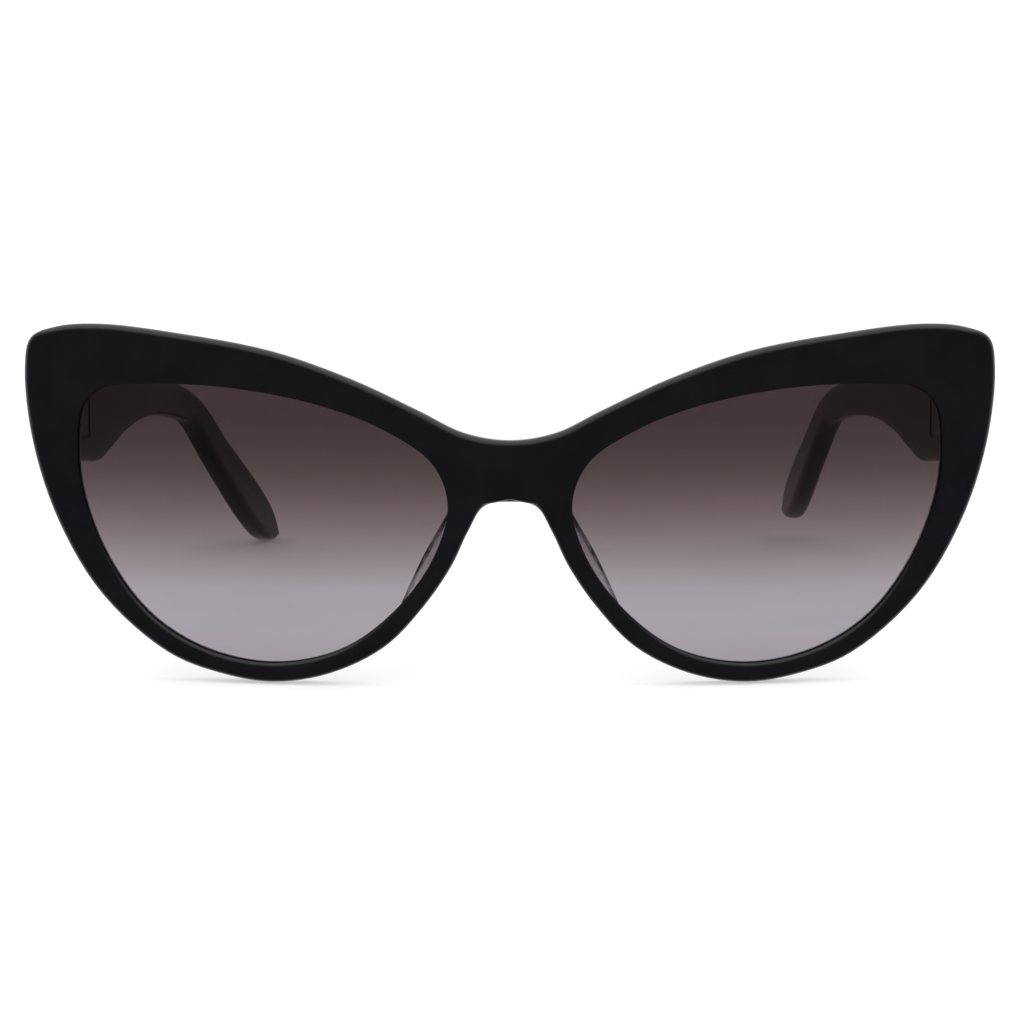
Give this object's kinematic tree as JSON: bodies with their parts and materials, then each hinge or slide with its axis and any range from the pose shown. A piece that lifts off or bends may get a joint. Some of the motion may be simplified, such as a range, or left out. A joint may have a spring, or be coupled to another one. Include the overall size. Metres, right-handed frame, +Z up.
{
  "type": "cat eye sunglasses",
  "caption": "Cat eye sunglasses in glossy black acetate with upswept corners, smoke gradient lenses, clear nose pads and folding temples on barrel hinges.",
  "frame": {"origin": "on the table, on the middle plane between the two lenses, halfway between the foremost point of the front and the rearmost temple tip", "axes": "+Z up, with the glasses standing open; the front faces -Y and the temples point to +Y; +X is the wearer's left"},
  "size_m": [0.1474, 0.1546, 0.0535],
  "materials": {
    "black_acetate": "black cellulose acetate, tumbled and polished to a high gloss",
    "clear_acetate": "clear cellulose acetate, milled, glued on and polished",
    "tinted_lens": "smoke brown tint, dark at the top and fading to nearly clear at the bottom, polished",
    "hinge_metal": "nickel silver, stamped and plated gunmetal",
    "screw_steel": "turned stainless steel with a slotted head",
    "core_wire": "drawn nickel silver wire, dull, sealed inside the temple"
  },
  "bodies": {
    "front": {"front_frame": "black_acetate", "lens_left": "tinted_lens", "lens_right": "tinted_lens", "nose_pad_left": "clear_acetate", "nose_pad_right": "clear_acetate", "hinge_front_leaf_left": "hinge_metal", "hinge_front_leaf_right": "hinge_metal", "hinge_screw_left": "screw_steel", "hinge_screw_right": "screw_steel"},
    "temple_left_arm": {"temple_left": "black_acetate", "hinge_temple_leaf_left": "hinge_metal", "temple_core_wire_left": "core_wire"},
    "temple_right_arm": {"temple_right": "black_acetate", "hinge_temple_leaf_right": "hinge_metal", "temple_core_wire_right": "core_wire"}
  },
  "joints": [
    {"name": "hinge_left", "type": "hinge", "parent": "front", "child": "temple_left_arm", "pos_m": [0.0674, -0.05674, 0.03925], "axis": [0, 0.0797, 0.9968], "range_deg": [0, 84]},
    {"name": "hinge_right", "type": "hinge", "parent": "front", "child": "temple_right_arm", "pos_m": [-0.0674, -0.05674, 0.03925], "axis": [0, -0.0797, -0.9968], "range_deg": [0, 77]}
  ]
}
